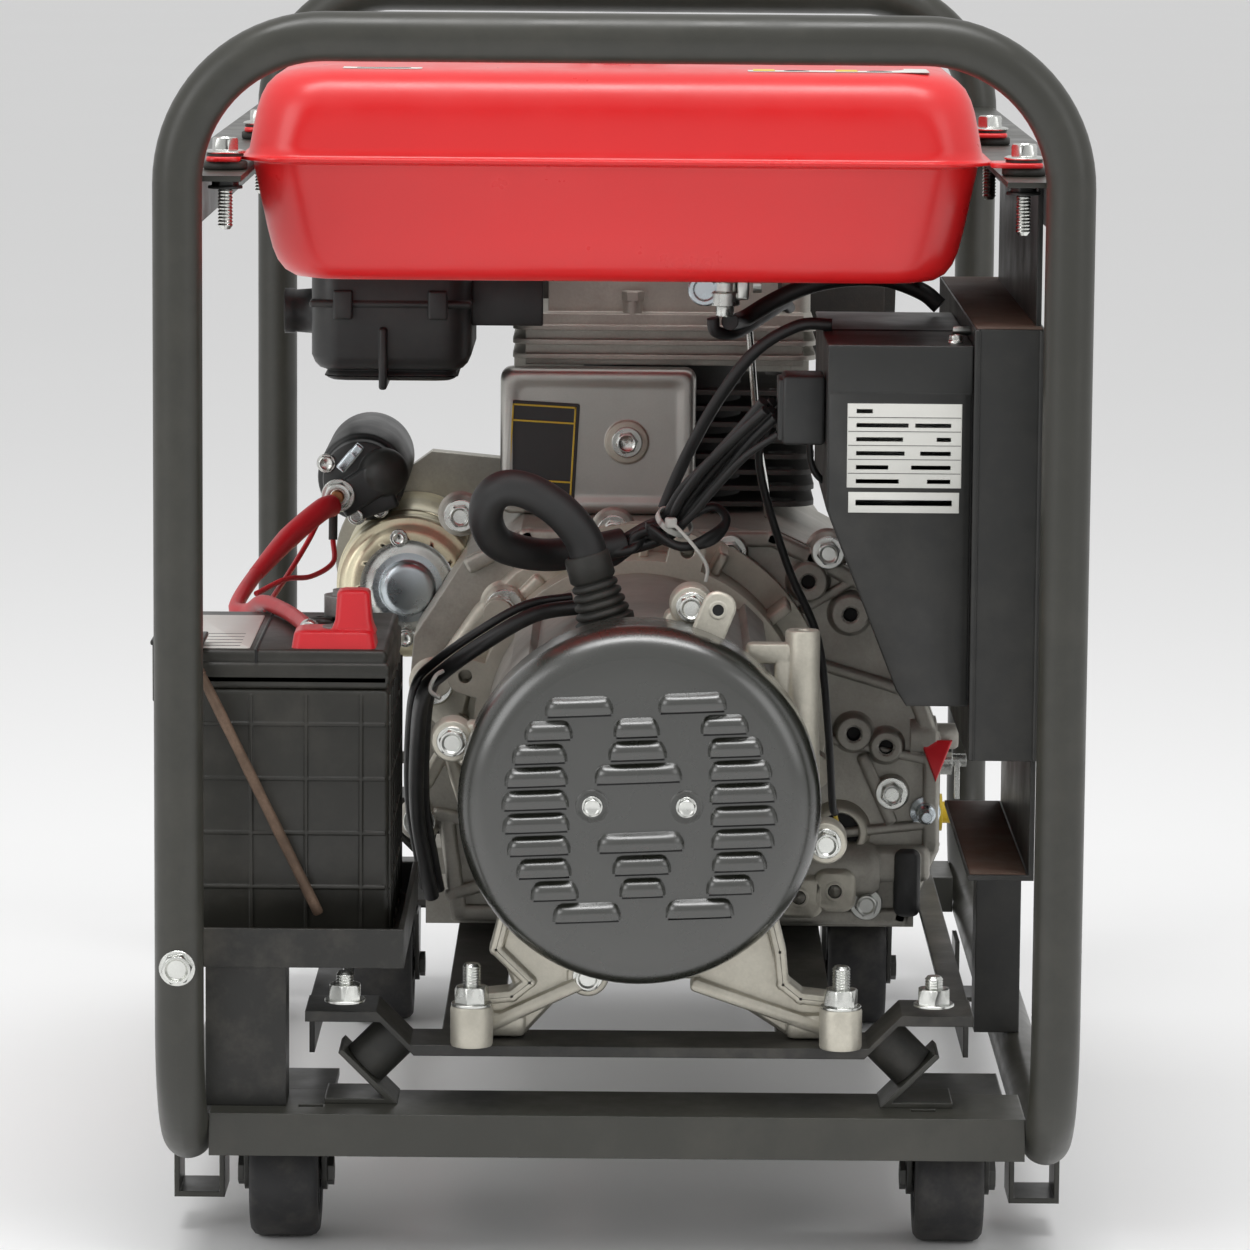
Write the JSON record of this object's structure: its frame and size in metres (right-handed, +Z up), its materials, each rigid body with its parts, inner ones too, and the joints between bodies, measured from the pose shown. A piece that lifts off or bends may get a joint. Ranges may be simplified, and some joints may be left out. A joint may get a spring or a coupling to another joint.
{
  "type": "engine driven welder",
  "caption": "Diesel engine driven welder: engine and welding alternator on a rubber-mounted cradle in a two-hoop tube frame on casters, with tank, battery and side control panel.",
  "frame": {"origin": "on the ground, under the middle of the frame", "axes": "+Z up, -Y towards the alternator end, +X towards the control panel side"},
  "size_m": [0.5185, 0.905, 0.705],
  "materials": {
    "frame_paint": "satin black powder coat",
    "dark_steel": "satin black paint",
    "fork_steel": "dark painted pressed steel",
    "wheel_rubber": "matte rubber",
    "rubber": "matte rubber",
    "battery_plastic": "fine grained",
    "lead": "dull",
    "red_plastic": "semi gloss",
    "zinc": "bright zinc",
    "clamp_steel": "dull plated",
    "tank_red": "satin red",
    "cap_steel": "bright plated",
    "tap_brass": "yellow zinc and brass",
    "hose": "satin",
    "cast_aluminium": "as cast",
    "fin_iron": "dark",
    "sheet_aluminium": "pressed sheet",
    "black_plastic": "moulded",
    "starter_zinc": "yellow zinc",
    "muffler_steel": "heat resistant black",
    "machined_steel": "machined",
    "copper": "enamelled winding",
    "lamination": "varnished",
    "cover_black": "satin black",
    "lever_zinc": "zinc",
    "yellow_plastic": "semi gloss",
    "panel_grey": "fine texture",
    "cable_black": "satin",
    "socket_blue": "semi gloss",
    "breaker_white": "matte",
    "knob_black": "moulded"
  },
  "bodies": {
    "frame": {"near_hoop": "frame_paint", "far_hoop": "frame_paint", "bottom_rails": "frame_paint", "crossbars": "frame_paint", "tank_rails": "frame_paint", "skid_feet": "frame_paint", "caster_mounts": "fork_steel", "engine_cradle": "dark_steel", "isolator_brackets": "frame_paint", "rubber_isolators": "rubber", "battery_tray": "dark_steel", "battery_case": "battery_plastic", "battery_lid": "battery_plastic", "battery_terminals": "lead", "terminal_boot": "red_plastic", "battery_clamp": "clamp_steel", "fuel_tank": "tank_red", "fuel_tap": "tap_brass", "fuel_hose": "hose", "crankcase": "cast_aluminium", "cylinder_barrel": "fin_iron", "cylinder_head": "cast_aluminium", "air_baffle": "sheet_aluminium", "fan_housing": "cast_aluminium", "starter_motor": "starter_zinc", "solenoid": "black_plastic", "air_filter": "black_plastic", "muffler": "muffler_steel", "adapter_bracket": "cast_aluminium", "stator": "lamination", "rear_bracket": "cast_aluminium", "rear_cover": "cover_black", "end_bearing": "machined_steel", "control_panel": "panel_grey", "control_box": "panel_grey", "rubber_boots": "rubber", "harness": "cable_black", "battery_cables": "cable_black", "sockets": "socket_blue", "breakers": "breaker_white", "fasteners": "zinc"},
    "wheel_near_left": {"wheel_near_left": "wheel_rubber"},
    "wheel_near_right": {"wheel_near_right": "wheel_rubber"},
    "swivel_left": {"swivel_fork_left": "fork_steel"},
    "swivel_right": {"swivel_fork_right": "fork_steel"},
    "wheel_far_left": {"wheel_far_left": "wheel_rubber"},
    "wheel_far_right": {"wheel_far_right": "wheel_rubber"},
    "fuel_cap": {"fuel_cap": "cap_steel"},
    "tap_lever": {"tap_lever": "zinc"},
    "crank_train": {"crankshaft": "machined_steel", "flywheel": "machined_steel", "rotor": "copper"},
    "recoil_handle": {"recoil_handle": "knob_black"},
    "speed_lever": {"speed_lever": "lever_zinc"},
    "dipstick": {"dipstick": "yellow_plastic"},
    "socket_lid_left": {"socket_lid_left": "socket_blue"},
    "socket_lid_right": {"socket_lid_right": "socket_blue"},
    "current_knob": {"current_knob": "knob_black"},
    "start_key": {"start_key": "zinc"},
    "breaker_toggle": {"breaker_toggle": "knob_black"}
  },
  "joints": [
    {"name": "wheel_near_left_spin", "type": "hinge", "parent": "frame", "child": "wheel_near_left", "pos_m": [-0.19, -0.3115, 0.0375], "axis": [1, 0, 0], "continuous": true},
    {"name": "wheel_near_right_spin", "type": "hinge", "parent": "frame", "child": "wheel_near_right", "pos_m": [0.19, -0.3115, 0.0375], "axis": [1, 0, 0], "continuous": true},
    {"name": "swivel_left_turn", "type": "hinge", "parent": "frame", "child": "swivel_left", "pos_m": [-0.16, 0.2755, 0.08], "axis": [0, 0, 1], "continuous": true},
    {"name": "swivel_right_turn", "type": "hinge", "parent": "frame", "child": "swivel_right", "pos_m": [0.16, 0.2755, 0.08], "axis": [0, 0, 1], "continuous": true},
    {"name": "wheel_far_left_spin", "type": "hinge", "parent": "swivel_left", "child": "wheel_far_left", "pos_m": [-0.16, 0.2955, 0.0375], "axis": [1, 0, 0], "continuous": true},
    {"name": "wheel_far_right_spin", "type": "hinge", "parent": "swivel_right", "child": "wheel_far_right", "pos_m": [0.16, 0.2955, 0.0375], "axis": [1, 0, 0], "continuous": true},
    {"name": "fuel_cap_turn", "type": "hinge", "parent": "frame", "child": "fuel_cap", "pos_m": [-0.005, -0.1865, 0.69], "axis": [0, 0, 1], "range_deg": [0, 90]},
    {"name": "tap_lever_turn", "type": "hinge", "parent": "frame", "child": "tap_lever", "pos_m": [0.078, -0.187, 0.54], "axis": [1, 0, 0], "range_deg": [-90, 0]},
    {"name": "crank_spin", "type": "hinge", "parent": "frame", "child": "crank_train", "pos_m": [0.011, 0, 0.267], "axis": [0, 1, 0], "continuous": true},
    {"name": "recoil_pull", "type": "slide", "parent": "frame", "child": "recoil_handle", "axis": [1, 0, 0], "range_m": [0, 0.3]},
    {"name": "speed_lever_turn", "type": "hinge", "parent": "frame", "child": "speed_lever", "pos_m": [0.2, -0.02, 0.232], "axis": [1, 0, 0], "range_deg": [-25, 25]},
    {"name": "dipstick_pull", "type": "slide", "parent": "frame", "child": "dipstick", "axis": [1, 0, 0], "range_m": [0, 0.1]},
    {"name": "socket_lid_left_open", "type": "hinge", "parent": "frame", "child": "socket_lid_left", "pos_m": [0.2483, -0.1125, 0.431], "axis": [0, -1, 0], "range_deg": [0, 110], "stiffness_Nm_per_rad": 0.02, "springref_deg": -34.38},
    {"name": "socket_lid_right_open", "type": "hinge", "parent": "frame", "child": "socket_lid_right", "pos_m": [0.2483, -0.0425, 0.431], "axis": [0, -1, 0], "range_deg": [0, 110], "stiffness_Nm_per_rad": 0.02, "springref_deg": -34.38},
    {"name": "current_knob_turn", "type": "hinge", "parent": "frame", "child": "current_knob", "pos_m": [0.234, -0.3005, 0.48], "axis": [1, 0, 0], "range_deg": [-270, 0]},
    {"name": "start_key_turn", "type": "hinge", "parent": "frame", "child": "start_key", "pos_m": [0.234, -0.2345, 0.48], "axis": [1, 0, 0], "range_deg": [-60, 0]},
    {"name": "breaker_toggle_tilt", "type": "hinge", "parent": "frame", "child": "breaker_toggle", "pos_m": [0.2395, -0.1705, 0.481], "axis": [0, 1, 0], "range_deg": [0, 32]}
  ]
}
